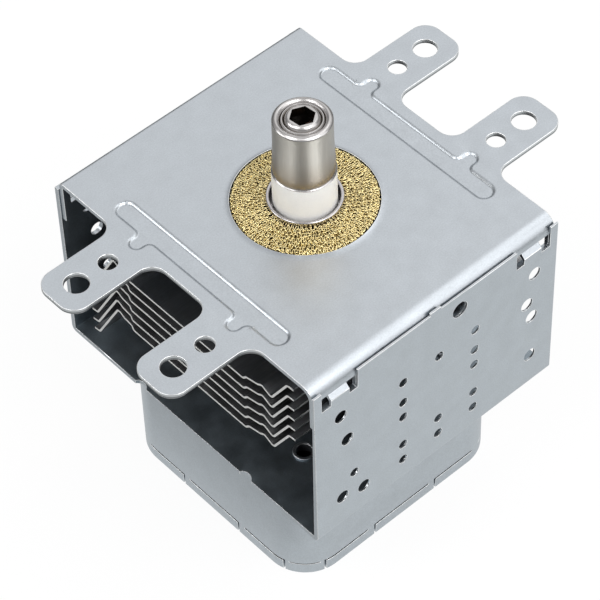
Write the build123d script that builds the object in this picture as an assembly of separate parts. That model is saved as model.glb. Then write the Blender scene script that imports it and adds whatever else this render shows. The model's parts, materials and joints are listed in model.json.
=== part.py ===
from build123d import *
import math
import os

# Packaged magnetron, in millimetres. The antenna axis is Z, and the outer face of the
# mounting plate is the plane Z = 0. The filter box hangs below, with its connector to +X.

# Gaps left between pieces that touch
braze_gap = 0.04
sheet_gap = 0.06
loose_gap = 0.3

# Mounting plate: one pressed sheet with four tabs and two side flanges
plate_thickness = 1.4
plate_half_length = 40.2
flange_front_y = 45.8
flange_back_y = 46.7
flange_depth = 13.5
front_bend_radius = 3.2
back_bend_radius = 1.5
least_inner_radius = 0.2
antenna_opening_radius = 18.9
opening_lip = 0.7
tab_row_y = 17.85
tab_half_width = 7.5
tab_end_margin = 7.5
tab_end_round = 4.8
tab_root_fillet = 4.4
outer_hole_x = 58.15
outer_hole_radius = 3.25
inner_hole_x = 48.3
inner_hole_radius = 2.5
bead_edge_margin = 3.3
bead_width = 5.7
bead_half_length = 30.7
bead_depth = 0.6
bead_wall_angle = 45
bead_rim_round = 1.1
bead_foot_round = 0.6
bead_rib_overrun = 1.2
bead_rib_half_width = 2.2
bead_rib_fillet = 1.5

# Yoke frame: one strip folded into a U, locked to the plate by four bent tongues
yoke_thickness = 1.4
yoke_end_overrun = 0.4
yoke_depth = 57.3
yoke_corner_radius = 1.7
wall_top_drop = 1.8
ear_top_drop = 1.3
back_wall_top_drop = 3.0
back_ear_top_drop = 2.7
crest_top_drop = 0.9
crest_start_x = -2.8
crest_end_x = 0.8
tongue_end_distance = 8.5
tongue_half_width = 3.0
tongue_bend_drop = 6.3
tongue_reach = 2.4
notch_gap_inner = 2.6
notch_gap_outer = 2.9
notch_drop = 8.1
window_top_drop = 3.5
small_hole_radius = 1.35
side_hole_radius = 1.9
locating_hole_radius = 2.4
locating_hole_x = 7.2
locating_hole_drop = 7.2
hole_column_left = -11.6
hole_column_middle = 0.45
hole_column_right = 12.65
hole_row_drops = (19.2, 26.8, 32.5, 43.3, 49.3)
side_holes = (
    (-32.1, 14.65),
    (-30.1, 24.9),
    (-24.9, 48.1),
    (-32.0, 46.2),
    (33.0, 14.3),
    (30.8, 24.4),
    (32.7, 30.35),
    (32.7, 45.4),
)
odd_hole_x = -28.0
odd_hole_drop = 39.9
floor_notch_y = 20.3
floor_notch_radius = 2.6
floor_notch_depth = 1.2

# Magnets and the anode block between them
magnet_radius = 26.5
magnet_bore_gap = 1.14
magnet_thickness = 12.5
magnet_edge = 0.8
anode_radius = 19.0
anode_wall = 2.0
seal_flange_thickness = 0.8
vane_count = 10
vane_height = 9.5
vane_thickness = 1.8
vane_tip_radius = 4.5
strap_thickness = 0.6
strap_height = 1.2
strap_inner_radius = 5.9
strap_outer_radius = 7.1
strap_sink = 0.3
strap_clearance = 0.4
pole_sheet = 1.6
pole_rim_inner_radius = 13.4
pole_tip_radius = 7.2
pole_hole_radius = 4.9
pole_vane_gap = 1.8

# Cathode and its two leads
hat_radius = 4.0
hat_thickness = 1.5
hat_overhang = 0.2
filament_radius = 1.95
filament_wire_radius = 0.28
filament_pitch = 1.15
hat_seat_width = 1.0
lead_radius = 0.7
side_lead_y = 3.2
hat_hole_clearance = 0.5

# Cooling fins: thin sheets pressed on the anode
fin_count = 6
fin_thickness = 0.6
fin_margin_above = 3.45
fin_margin_below = 5.35
fin_end_inset = 1.3
fin_collar_gap = 1.02
fin_bend_radius = 1.1
fin_step_radius = 0.75
# Cross section of a fin from its flat middle outwards. The first of each pair is the
# distance from the inner face of the yoke's wall, and the second the rise above the middle.
fin_front_bends = ((25.76, 0.0), (24.51, 1.4), (20.26, 2.45), (18.86, 3.45), (15.46, 1.7))
fin_front_lip = ((9.46, 11.6), (7.16, 11.8))
fin_back_bends = ((23.91, 0.0), (23.61, 1.4), (20.56, 1.9), (18.31, 3.3))
fin_back_lip = ((9.16, -13.1), (7.06, -13.4))

# Output end: seal cup, insulator, exhaust tube and antenna cap
seal_radius = 9.76
seal_wall = 0.93
seal_lip_height = 2.1
seal_lip_round = 0.4
seal_ledge_drop = 1.5
seal_ledge_thickness = 0.9
seal_ledge_lap = 1.2
insulator_gap = 0.73
insulator_wall = 2.5
insulator_top = 11.4
gasket_gap = 0.3
gasket_top = 1.0
gasket_round = 1.1
cap_skirt_overhang = 0.25
cap_skirt_height = 2.0
cap_skirt_chamfer = 0.3
cap_radius = 7.5
cap_wall = 0.5
cap_flare_height = 5.6
cap_height = 17.7
cap_shoulder_round = 1.2
cap_top_thickness = 2.2
cap_rim_width = 1.42
cap_groove_width = 0.68
cap_groove_depth = 1.2
cap_ring_width = 0.4
cap_ring_drop = 0.2
cap_inner_groove_width = 0.35
cap_boss_taper = 0.7
cap_boss_rise = 0.85
cap_hex_radius = 3.35
cap_hex_angle = 36.5
exhaust_cup_thickness = 0.5
exhaust_cup_height = 9.6
exhaust_tube_radius = 2.6
exhaust_tube_wall = 0.7
exhaust_tube_rise = 2.0
exhaust_tube_drop = 5.0
pinch_height = 2.6
pinch_half_width = 2.9
pinch_half_thickness = 0.4
antenna_lead_radius = 1.0
antenna_foot_gap = 0.2
antenna_knee_drop = 3.8
antenna_knee_rise = 5.7
antenna_bend_radius = 3.0

# Stem insulator and its terminals, inside the filter box
stem_drop = 1.0
stem_height = 6.8
stem_spigot_height = 2.2
stem_terminal_thickness = 0.8
stem_terminal_radius = 1.2
stem_terminal_reach = 7.5
lead_end = 0.3

# Filter box: a drawn cup, open below and closed by a lid
filter_sheet = 0.9
filter_half_x = 35.66
filter_half_y = 35.15
filter_height = 36.6
filter_corner_radius = 11.7
filter_edge_radius = 2.0
burr_x = 24.65
burr_y = 24.7
burr_inner_radius = 2.15
burr_wall = 0.5
burr_height = 0.5
burr_flare = 0.25
slit_rise = 3.7
slit_width = 0.55
finger_places = ((-27.5, -12.5), (-10.3, 9.5), (11.4, 25.5))
corner_slit_gap = 1.0
corner_slit_width = 0.3
lid_sheet = 0.8
lid_rim_gap = 0.8

# Chokes and the feedthrough capacitor
choke_radius = 4.2
choke_wire_radius = 0.65
choke_pitch = 1.7
choke_turns = 10.5
choke_y = 15.0
choke_weld_lap = 2.6
choke_core_overhang = 1.2
capacitor_half_width = 11.0
capacitor_half_height = 7.0
capacitor_neck_inset = 1.5
capacitor_outside = 14.0
capacitor_inside = 6.0
capacitor_edge_round = 1.0
bracket_thickness = 1.0
bracket_half_width = 15.5
bracket_half_height = 9.0
bracket_corner_radius = 2.0
rivet_y = 13.2
rivet_radius = 1.2
rivet_head_radius = 1.9
rivet_head_height = 0.8
blade_y = 5.5
blade_half_width = 3.15
blade_thickness = 0.8
blade_length = 11.5
blade_hole_radius = 0.85
blade_hole_distance = 6.9
blade_tip_chamfer = 1.05
pin_half_width = 1.5

# Places worked out from the sizes above
bead_middle_x = plate_half_length - bead_edge_margin - bead_width / 2
wall_front_y = flange_front_y + sheet_gap
wall_back_y = flange_back_y + sheet_gap
yoke_front_y = wall_front_y + yoke_thickness
yoke_back_y = wall_back_y + yoke_thickness
yoke_half_length = plate_half_length + yoke_end_overrun
yoke_floor_bottom = -yoke_depth
yoke_floor_top = yoke_floor_bottom + yoke_thickness
upper_magnet_top = -plate_thickness
upper_magnet_bottom = upper_magnet_top - magnet_thickness
lower_magnet_bottom = yoke_floor_top
lower_magnet_top = lower_magnet_bottom + magnet_thickness
anode_top = upper_magnet_bottom - seal_flange_thickness
anode_bottom = lower_magnet_top + seal_flange_thickness
anode_middle = (anode_top + anode_bottom) / 2
anode_bore = anode_radius - anode_wall
magnet_bore_radius = seal_radius + magnet_bore_gap
vane_top = anode_middle + vane_height / 2
strap_edge = strap_outer_radius + strap_thickness + strap_clearance
antenna_foot_x = strap_edge + antenna_lead_radius + antenna_foot_gap
fin_first_z = anode_top - fin_margin_above
fin_pitch = (fin_first_z - anode_bottom - fin_margin_below) / (fin_count - 1)
seal_bore = seal_radius - seal_wall
insulator_radius = seal_bore - insulator_gap
insulator_bore = insulator_radius - insulator_wall
gasket_radius = antenna_opening_radius - gasket_gap
cap_skirt_radius = insulator_radius + cap_skirt_overhang
filter_ceiling = yoke_floor_bottom - filter_sheet
filter_bottom = yoke_floor_bottom - filter_height
stem_top = filter_ceiling - stem_drop
stem_bottom = stem_top - stem_height
terminal_bottom = stem_bottom - stem_terminal_thickness
choke_z = terminal_bottom - braze_gap - choke_wire_radius - choke_radius
choke_length = choke_turns * choke_pitch
pin_bottom = choke_z - choke_radius + choke_wire_radius + braze_gap
capacitor_z = pin_bottom + blade_thickness / 2
bracket_face_x = filter_half_x + bracket_thickness
capacitor_face_x = bracket_face_x + capacitor_outside
cap_top = insulator_top + cap_height
tongue_x = yoke_half_length - tongue_end_distance
tongue_inner_x = tongue_x - tongue_half_width - notch_gap_inner
tongue_outer_x = tongue_x + tongue_half_width + notch_gap_outer


def ring(outer, inner, bottom, top):
    """A tube or flat ring about the antenna axis."""
    return Pos(0, 0, bottom) * extrude(Circle(outer) - Circle(inner), top - bottom)


def disc(radius, bottom, top, x=0, y=0):
    """A solid round along Z."""
    return Pos(x, y, bottom) * extrude(Circle(radius), top - bottom)


def turned(*points):
    """A turned piece from the (radius, height) points of its half section."""
    return revolve(Plane.XZ * make_face(Polyline(*points, close=True)), Axis.Z)


def block(x0, x1, y0, y1, z0, z1):
    """A square block between two corners."""
    return Pos((x0 + x1) / 2, (y0 + y1) / 2, (z0 + z1) / 2) * Box(
        abs(x1 - x0), abs(y1 - y0), abs(z1 - z0)
    )


def below(piece):
    """The same piece at the other end of the anode."""
    return mirror(piece, Plane.XY.offset(anode_middle))


# Mounting plate
def tab_corners(sketch):
    """The eight inner corners where the tabs leave the plate."""
    rows = (tab_row_y - tab_half_width, tab_row_y + tab_half_width)
    return [
        v
        for v in sketch.vertices()
        if math.isclose(abs(v.X), plate_half_length, abs_tol=1e-6)
        and any(math.isclose(abs(v.Y), row, abs_tol=1e-6) for row in rows)
    ]


def plate_outline():
    """The flat of the plate with its four round-cornered tabs."""
    front = front_bend_radius - flange_front_y
    back = flange_back_y - back_bend_radius
    sketch = Pos(0, (front + back) / 2) * Rectangle(2 * plate_half_length, back - front)
    tab_end = outer_hole_x + tab_end_margin
    corner = min(tab_end_round, 0.98 * tab_half_width)
    for row in (-1, 1):
        bar = RectangleRounded(2 * tab_end, 2 * tab_half_width, corner)
        sketch += Pos(0, row * tab_row_y) * bar
    return fillet(tab_corners(sketch), tab_root_fillet)


def bead_outline(side):
    """Rim of the pressed bead along one end of the plate, with a rib into each tab."""
    bar = RectangleRounded(bead_width, 2 * bead_half_length, 0.49 * bead_width)
    sketch = Pos(side * bead_middle_x, 0) * bar
    bar_edge = bead_middle_x + bead_width / 2
    rib_end = plate_half_length + bead_rib_overrun - bead_rib_half_width
    for row in (-1, 1):
        spot = Pos(side * (bead_middle_x + rib_end) / 2, row * tab_row_y)
        sketch += spot * Rectangle(rib_end - bead_middle_x, 2 * bead_rib_half_width)
        sketch += Pos(side * rib_end, row * tab_row_y) * Circle(bead_rib_half_width)
    roots = [v for v in sketch.vertices() if math.isclose(abs(v.X), bar_edge, abs_tol=1e-6)]
    rows = (tab_row_y - bead_rib_half_width, tab_row_y + bead_rib_half_width)
    roots = [v for v in roots if any(math.isclose(abs(v.Y), row, abs_tol=1e-6) for row in rows)]
    return fillet(roots, min(bead_rib_fillet, 0.9 * (rib_end - bar_edge)))


def bead(side, top):
    """The room of the bead under a height, with sloped sides and a rounded foot."""
    body = extrude(bead_outline(side), amount=-bead_depth, taper=bead_wall_angle)
    foot = body.faces().sort_by(Axis.Z)[0].edges()
    return Pos(0, 0, top) * fillet(foot, bead_foot_round)


def bead_rim(plate, side):
    """The edges where the flat of the plate turns down into a bead."""
    outline = bead_outline(side).wire()
    return [e for e in plate.edges() if outline.distance_to(e @ 0.5) < 1e-4]


def flange_corner(section, side):
    """The section of the plate with one of its two bends rounded."""
    radius = back_bend_radius if side > 0 else front_bend_radius
    place = flange_back_y if side > 0 else -flange_front_y
    outer = [v for v in section.vertices() if math.isclose(v.X, place) and abs(v.Y) < 1e-6]
    section = fillet(outer, radius)
    inner = [
        v
        for v in section.vertices()
        if math.isclose(v.X, place - side * plate_thickness, abs_tol=1e-6)
        and math.isclose(v.Y, -plate_thickness, abs_tol=1e-6)
    ]
    return fillet(inner, max(least_inner_radius, radius - plate_thickness))


def mounting_plate():
    """Folded sheet that carries the antenna and closes the magnetic circuit."""
    front = -flange_front_y
    back = flange_back_y
    t = plate_thickness
    section = make_face(
        Polyline(
            (front, -flange_depth),
            (front, 0),
            (back, 0),
            (back, -flange_depth),
            (back - t, -flange_depth),
            (back - t, -t),
            (front + t, -t),
            (front + t, -flange_depth),
            close=True,
        )
    )
    section = flange_corner(flange_corner(section, 1), -1)
    plate = extrude(Plane.YZ * section, plate_half_length, both=True)
    plate += Pos(0, 0, -t) * extrude(plate_outline(), t)
    for side in (-1, 1):
        plate += bead(side, -t)
        plate -= bead(side, 0)
        for row in (-1, 1):
            y_row = row * tab_row_y
            plate -= disc(outer_hole_radius, -t, 0, side * outer_hole_x, y_row)
            plate -= disc(inner_hole_radius, -t, 0, side * inner_hole_x, y_row)
        for y0, y1 in ((front, front + t), (back - t, back)):
            plate -= block(
                side * tongue_inner_x,
                side * tongue_outer_x,
                y0,
                y1,
                -notch_drop,
                -window_top_drop,
            )
    plate -= locating_holes()
    opening = disc(antenna_opening_radius, -t, 0)
    opening += turned(
        (0, -opening_lip),
        (antenna_opening_radius, -opening_lip),
        (antenna_opening_radius + opening_lip, 0),
        (0, 0),
    )
    plate -= opening
    for side in (-1, 1):
        plate = fillet(bead_rim(plate, side), bead_rim_round)
    return plate


# Yoke frame
def wall_drill(x, drop, radius):
    """A round tool that goes through both side walls."""
    reach = max(yoke_front_y, yoke_back_y)
    return Pos(x, 0, -drop) * Rot(90, 0, 0) * Cylinder(radius, 2 * reach)


def locating_holes():
    """The hole that pins the walls to the flanges of the plate."""
    return wall_drill(locating_hole_x, locating_hole_drop, locating_hole_radius)


def wall_holes():
    """Every vent and locating hole of the two side walls."""
    tools = locating_holes()
    for drop in hole_row_drops:
        tools += wall_drill(hole_column_left, drop, small_hole_radius)
        tools += wall_drill(hole_column_right, drop, small_hole_radius)
    for drop in (hole_row_drops[0], *hole_row_drops[3:]):
        tools += wall_drill(hole_column_middle, drop, small_hole_radius)
    for x, drop in side_holes:
        tools += wall_drill(x, drop, side_hole_radius)
    return tools + wall_drill(odd_hole_x, odd_hole_drop, small_hole_radius)


def tongue(side, row):
    """A wall tongue bent in over the window of the plate's flange."""
    face = yoke_back_y if row > 0 else yoke_front_y
    t = yoke_thickness
    bend = -tongue_bend_drop
    lean = t / math.sqrt(2)
    points = (
        (face, -notch_drop),
        (face, bend),
        (face - tongue_reach, bend + tongue_reach),
        (face - tongue_reach - lean, bend + tongue_reach - lean),
        (face - t, bend + t - 2 * lean),
        (face - t, -notch_drop),
    )
    section = make_face(Polyline(*[(row * y, z) for y, z in points], close=True))
    strip = extrude(Plane.YZ * section, tongue_half_width, both=True)
    return Pos(side * tongue_x, 0, 0) * strip


def yoke_frame():
    """Thick steel strip folded into a U around the magnets and the fins."""
    front = -yoke_front_y
    back = yoke_back_y
    t = yoke_thickness
    section = make_face(
        Polyline(
            (front, yoke_floor_bottom),
            (front, -crest_top_drop),
            (front + t, -crest_top_drop),
            (front + t, yoke_floor_top),
            (back - t, yoke_floor_top),
            (back - t, -back_ear_top_drop),
            (back, -back_ear_top_drop),
            (back, yoke_floor_bottom),
            close=True,
        )
    )
    section = fillet(section.vertices().group_by(Axis.Y)[0], yoke_corner_radius)
    inside = [
        v
        for v in section.vertices()
        if math.isclose(v.Y, yoke_floor_top, abs_tol=1e-6)
    ]
    section = fillet(inside, max(least_inner_radius, yoke_corner_radius - t))
    yoke = extrude(Plane.YZ * section, yoke_half_length, both=True)
    yoke -= block(-tongue_inner_x, crest_start_x, front, 0, -wall_top_drop, 0)
    yoke -= block(crest_end_x, tongue_inner_x, front, 0, -wall_top_drop, 0)
    yoke -= block(-tongue_inner_x, tongue_inner_x, 0, back, -back_wall_top_drop, 0)
    for side in (-1, 1):
        end = side * yoke_half_length
        yoke -= block(side * tongue_inner_x, side * tongue_outer_x, front, back, -notch_drop, 0)
        yoke -= block(side * tongue_outer_x, end, front, 0, -ear_top_drop, 0)
        for row in (-1, 1):
            yoke += tongue(side, row)
            notch_x = side * (yoke_half_length + floor_notch_radius - floor_notch_depth)
            yoke -= disc(
                floor_notch_radius,
                yoke_floor_bottom,
                yoke_floor_top,
                notch_x,
                row * floor_notch_y,
            )
            burr_hole = burr_inner_radius + burr_wall + sheet_gap
            yoke -= disc(
                burr_hole, yoke_floor_bottom, yoke_floor_top, side * burr_x, row * burr_y
            )
    yoke -= disc(seal_radius + 2 * loose_gap, yoke_floor_bottom, yoke_floor_top)
    return yoke - wall_holes()


# Magnets
def magnet(bottom, top):
    """A ring of pressed ferrite with broken edges."""
    body = ring(magnet_radius, magnet_bore_radius, bottom, top)
    rims = body.edges().filter_by(GeomType.CIRCLE).group_by(SortBy.RADIUS)[-1]
    return chamfer(rims, magnet_edge)


# Anode block
def anode_cylinder():
    """Copper tube that carries the vanes and the fins."""
    return ring(anode_radius, anode_bore, anode_bottom, anode_top)


def strap(radius):
    """One strap ring in the grooves at the top of the vanes."""
    top = vane_top - strap_sink
    return ring(radius + strap_thickness, radius, top - strap_height, top)


def strap_groove(inner_brazed):
    """Groove at the top of a vane: tight on one strap and clear of the other."""
    floor = vane_top - strap_sink - strap_height
    split = (strap_inner_radius + strap_thickness + strap_outer_radius) / 2
    inner_gap = braze_gap if inner_brazed else strap_clearance
    outer_gap = strap_clearance if inner_brazed else braze_gap
    low = strap_inner_radius - inner_gap
    high = strap_outer_radius + strap_thickness + outer_gap
    groove = ring(split, low, floor - inner_gap, vane_top)
    return groove + ring(high, split, floor - outer_gap, vane_top)


def anode_vane(index):
    """One copper vane, from the anode wall to the space round the cathode."""
    blank = block(
        0,
        anode_radius,
        -vane_thickness / 2,
        vane_thickness / 2,
        vane_top - vane_height,
        vane_top,
    )
    blank &= ring(
        anode_bore - braze_gap, vane_tip_radius, vane_top - vane_height, vane_top
    )
    even = index % 2 == 0
    blank -= strap_groove(even)
    blank -= below(strap_groove(not even))
    return Rot(0, 0, 360 / vane_count * index) * blank


def pole_piece():
    """Steel funnel that leads the field to the space round the cathode."""
    tip = vane_top + pole_vane_gap
    return turned(
        (anode_bore - braze_gap, anode_top),
        (pole_rim_inner_radius, anode_top),
        (pole_tip_radius, tip + pole_sheet),
        (pole_hole_radius, tip + pole_sheet),
        (pole_hole_radius, tip),
        (pole_tip_radius - pole_sheet / 2, tip),
        (pole_rim_inner_radius - pole_sheet / 2, anode_top - pole_sheet),
        (anode_bore - braze_gap, anode_top - pole_sheet),
    )


# Output end
def upper_seal_cup():
    """Steel cup that joins the anode to the output insulator, with a rolled lip."""
    ledge = -seal_ledge_drop
    cup = turned(
        (seal_bore, anode_top),
        (anode_radius, anode_top),
        (anode_radius, upper_magnet_bottom),
        (seal_radius, upper_magnet_bottom),
        (seal_radius, seal_lip_height),
        (seal_bore, seal_lip_height),
        (seal_bore, ledge),
        (insulator_radius - seal_ledge_lap, ledge),
        (insulator_radius - seal_ledge_lap, ledge - seal_ledge_thickness),
        (seal_bore, ledge - seal_ledge_thickness),
    )
    return fillet(cup.faces().sort_by(Axis.Z)[-1].edges(), min(seal_lip_round, 0.45 * seal_wall))


def antenna_insulator():
    """Alumina tube between the seal cup and the antenna cap."""
    return ring(insulator_radius, insulator_bore, -seal_ledge_drop, insulator_top)


def exhaust_cup():
    """Thin cup brazed on the insulator, over which the cap is pressed."""
    t = exhaust_cup_thickness
    outer = cap_radius - cap_wall - braze_gap
    seat = cap_skirt_radius - cap_wall - braze_gap
    top = insulator_top + exhaust_cup_height
    hole = exhaust_tube_radius + braze_gap
    return turned(
        (insulator_bore, insulator_top),
        (seat, insulator_top),
        (seat, insulator_top + t),
        (outer, insulator_top + t),
        (outer, top),
        (hole, top),
        (hole, top - t),
        (outer - t, top - t),
        (outer - t, insulator_top + t),
        (insulator_bore, insulator_top + t),
    )


def exhaust_tube():
    """Copper pump-out tube, pinched shut above the antenna lead."""
    top = insulator_top + exhaust_cup_height + exhaust_tube_rise
    bottom = insulator_top + exhaust_cup_height - exhaust_tube_drop
    tube = ring(exhaust_tube_radius, exhaust_tube_radius - exhaust_tube_wall, bottom, top)
    root = Plane.XY.offset(top) * Circle(exhaust_tube_radius)
    edge = Plane.XY.offset(top + pinch_height) * Rectangle(
        2 * pinch_half_width, 2 * pinch_half_thickness
    )
    return tube + loft([root.face(), edge.face()])


def antenna_route():
    """Centre line of the antenna lead, from a vane up to the pinched tube."""
    top = insulator_top + exhaust_cup_height + exhaust_tube_rise - braze_gap
    return FilletPolyline(
        (antenna_foot_x, 0, vane_top + braze_gap),
        (antenna_foot_x, 0, anode_top - antenna_knee_drop),
        (0, 0, anode_top + antenna_knee_rise),
        (0, 0, top),
        radius=antenna_bend_radius,
    )


def antenna_rod(radius):
    """A round rod along the route of the antenna lead."""
    route = antenna_route()
    return sweep(Plane(route @ 0, z_dir=route % 0) * Circle(radius), path=route)


def antenna_cap():
    """Drawn steel cap with a flared skirt, a ringed top and a hexagon hole."""
    bottom = insulator_top
    skirt_top = bottom + cap_skirt_height
    flare_top = skirt_top + cap_flare_height
    groove_floor = cap_top - cap_groove_depth
    ring_top = cap_top - cap_ring_drop
    boss_top = cap_top + cap_boss_rise
    inside_top = cap_top - cap_top_thickness
    groove_radius = cap_radius - cap_rim_width
    ring_outer = groove_radius - cap_groove_width
    ring_inner = ring_outer - cap_ring_width
    boss_root = ring_inner - cap_inner_groove_width
    cap = turned(
        (cap_skirt_radius - cap_wall, bottom),
        (cap_skirt_radius - cap_skirt_chamfer, bottom),
        (cap_skirt_radius, bottom + cap_skirt_chamfer),
        (cap_skirt_radius, skirt_top),
        (cap_radius, flare_top),
        (cap_radius, cap_top),
        (groove_radius, cap_top),
        (groove_radius, groove_floor),
        (ring_outer, groove_floor),
        (ring_outer, ring_top),
        (ring_inner, ring_top),
        (ring_inner, groove_floor),
        (boss_root, groove_floor),
        (boss_root - cap_boss_taper, boss_top),
        (0, boss_top),
        (0, inside_top),
        (cap_radius - cap_wall, inside_top),
        (cap_radius - cap_wall, flare_top),
        (cap_skirt_radius - cap_wall, skirt_top),
    )
    shoulder = [
        e
        for e in cap.edges().filter_by(GeomType.CIRCLE)
        if math.isclose(e.radius, cap_radius, abs_tol=1e-6)
        and math.isclose(e.center().Z, cap_top, abs_tol=1e-6)
    ]
    cap = fillet(shoulder, min(cap_shoulder_round, 0.9 * cap_rim_width))
    socket = Rot(0, 0, cap_hex_angle) * RegularPolygon(cap_hex_radius, 6)
    return cap - Pos(0, 0, inside_top) * extrude(socket, boss_top - inside_top)


def wire_mesh_gasket():
    """Pressed ring of knitted brass wire that seals the plate to the oven."""
    body = ring(gasket_radius, seal_radius + sheet_gap, upper_magnet_top, gasket_top)
    top_rims = body.faces().sort_by(Axis.Z)[-1].edges().sort_by(SortBy.RADIUS)
    body = fillet(top_rims[-1], gasket_round)
    inner_rim = body.faces().filter_by(Plane.XY).sort_by(Axis.Z)[-1]
    return fillet(inner_rim.edges().sort_by(SortBy.RADIUS)[0], gasket_round / 2)


# Cathode
def end_hat():
    """Molybdenum disc above the filament, dished towards it."""
    bottom = vane_top + hat_overhang
    return turned(
        (lead_radius + braze_gap, bottom),
        (filament_radius + hat_seat_width, bottom),
        (hat_radius, bottom + hat_thickness / 2),
        (hat_radius, bottom + hat_thickness),
        (lead_radius + braze_gap, bottom + hat_thickness),
    )


def lower_end_hat():
    """The same hat at the foot of the filament, open round the centre lead."""
    top = vane_top - vane_height - hat_overhang
    return below(end_hat()) - disc(lead_radius + hat_hole_clearance, top - hat_thickness, top)


def filament():
    """Coiled tungsten wire between the two end hats."""
    top = vane_top + hat_overhang - filament_wire_radius - braze_gap
    height = 2 * (top - anode_middle)
    coil = Helix(filament_pitch, height, filament_radius, center=(0, 0, anode_middle - height / 2))
    start = Plane(coil @ 0, z_dir=coil % 0)
    return sweep(start * Circle(filament_wire_radius), path=coil, is_frenet=True)


def centre_lead():
    """Rod from the upper hat through the filament to the stem."""
    return disc(lead_radius, terminal_bottom - lead_end, vane_top + hat_overhang + hat_thickness)


def side_lead():
    """Rod from the lower hat to the stem."""
    top = vane_top - vane_height - hat_overhang - hat_thickness - braze_gap
    return disc(lead_radius, terminal_bottom - lead_end, top, 0, side_lead_y)


# Stem
def lower_seal_cup():
    """Steel cup that joins the anode to the stem insulator."""
    return turned(
        (seal_bore, anode_bottom),
        (anode_radius, anode_bottom),
        (anode_radius, lower_magnet_top),
        (seal_radius, lower_magnet_top),
        (seal_radius, stem_top),
        (seal_bore, stem_top),
    )


def stem_insulator():
    """Alumina block with a spigot and a hole for each lead."""
    stem = disc(seal_radius, stem_bottom, stem_top)
    stem += disc(seal_bore - braze_gap, stem_top, stem_top + stem_spigot_height)
    top = stem_top + stem_spigot_height
    stem -= disc(lead_radius + braze_gap, stem_bottom, top)
    return stem - disc(lead_radius + braze_gap, stem_bottom, top, 0, side_lead_y)


def stem_terminal(lead_y, side):
    """Small plate round one lead, with a tongue to its choke."""
    r = stem_terminal_radius
    plate = disc(r, terminal_bottom, stem_bottom, 0, lead_y)
    plate += block(-r, r, lead_y, side * stem_terminal_reach, terminal_bottom, stem_bottom)
    return plate - disc(lead_radius + braze_gap, terminal_bottom, stem_bottom, 0, lead_y)


# Cooling fins
def cooling_fin(index):
    """One bent sheet with a drawn collar round the anode."""
    front = [(inset - wall_front_y, rise) for inset, rise in fin_front_bends + fin_front_lip]
    back = [(wall_back_y - inset, rise) for inset, rise in fin_back_bends + fin_back_lip]
    radii = [fin_bend_radius] * (len(front) - 1) + [fin_step_radius] * 2
    radii += [fin_bend_radius] * (len(back) - 3)
    line = FilletPolyline(*reversed(front), *back, radius=radii)
    half_length = yoke_half_length - fin_end_inset
    fin = extrude(Plane.YZ * trace(line, fin_thickness), half_length, both=True)
    bore = anode_radius + braze_gap
    half = fin_thickness / 2
    collar_top = fin_pitch - half - fin_collar_gap
    fin += ring(bore + fin_thickness, bore, half, collar_top)
    fin -= disc(bore, -half, half)
    return Pos(0, 0, fin_first_z - index * fin_pitch) * fin


# Filter box
def filter_shell(inset, bottom, top):
    """Rounded block of the filter box, smaller by an inset all round."""
    sketch = RectangleRounded(
        2 * (filter_half_x - inset),
        2 * (filter_half_y - inset),
        filter_corner_radius - inset,
    )
    return Pos(0, 0, bottom) * extrude(sketch, top - bottom)


def top_rounded(body, radius):
    """The body with its upper rim rounded."""
    return fillet(body.faces().sort_by(Axis.Z)[-1].edges(), radius)


def finger_slits():
    """Slits that free the spring fingers along the rim of the filter box."""
    height = filter_bottom + slit_rise
    low = height - slit_width / 2
    high = height + slit_width / 2
    reach = max(filter_half_x, filter_half_y) + filter_sheet
    deep = min(filter_half_x, filter_half_y) - 2 * filter_sheet
    corner = corner_slit_gap - finger_places[0][0]
    tools = Part()
    for side in (-1, 1):
        wall = sorted((side * deep, side * reach))
        for start, end in finger_places:
            tools += block(*wall, start, end, low, high)
            tools += block(*wall, start, start + slit_width, filter_bottom, high)
            tools += block(start, end, *wall, low, high)
            tools += block(start, start + slit_width, *wall, filter_bottom, high)
        for row in (-1, 1):
            tools += block(
                side * corner,
                side * reach,
                row * corner,
                row * reach,
                height - corner_slit_width / 2,
                height + corner_slit_width / 2,
            )
    return tools


def capacitor_outline(inset):
    """Oval of the capacitor's case, smaller by an inset."""
    return Plane.YZ * Pos(0, capacitor_z) * SlotOverall(
        2 * (capacitor_half_width - inset), 2 * (capacitor_half_height - inset)
    )


def rivet_tool(radius, x0, x1, row):
    """A round along X at one rivet of the capacitor's bracket."""
    spot = Plane.YZ * Pos(row * rivet_y, capacitor_z) * Circle(radius)
    return Pos(x0, 0, 0) * extrude(spot, x1 - x0)


def filter_box():
    """Drawn steel cup with a fingered rim, hooked into the yoke by four burrs."""
    box = top_rounded(filter_shell(0, filter_bottom, yoke_floor_bottom), filter_edge_radius)
    room = filter_shell(filter_sheet, filter_bottom, filter_ceiling)
    box -= top_rounded(room, filter_edge_radius - filter_sheet)
    burr_outer = burr_inner_radius + burr_wall
    burr_top = yoke_floor_top + burr_height
    for side in (-1, 1):
        for row in (-1, 1):
            x = side * burr_x
            y = row * burr_y
            box += disc(burr_outer, filter_ceiling, burr_top, x, y)
            box += disc(burr_outer + burr_flare, yoke_floor_top, burr_top, x, y)
            box -= disc(burr_inner_radius, filter_ceiling, burr_top, x, y)
    box -= disc(seal_radius + loose_gap, filter_ceiling, yoke_floor_bottom)
    neck = capacitor_outline(capacitor_neck_inset - sheet_gap)
    wall = filter_half_x - filter_sheet
    box -= Pos(wall, 0, 0) * extrude(neck, filter_sheet)
    for row in (-1, 1):
        box -= rivet_tool(rivet_radius + braze_gap, wall, filter_half_x, row)
    return box - finger_slits()


def filter_lid():
    """Shallow tray pressed into the open end of the filter box."""
    inset = filter_sheet + sheet_gap
    floor = filter_bottom + lid_sheet
    rim = filter_bottom + slit_rise - lid_rim_gap
    tray = filter_shell(inset, filter_bottom, rim)
    return tray - filter_shell(inset + lid_sheet, floor, rim)


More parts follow.
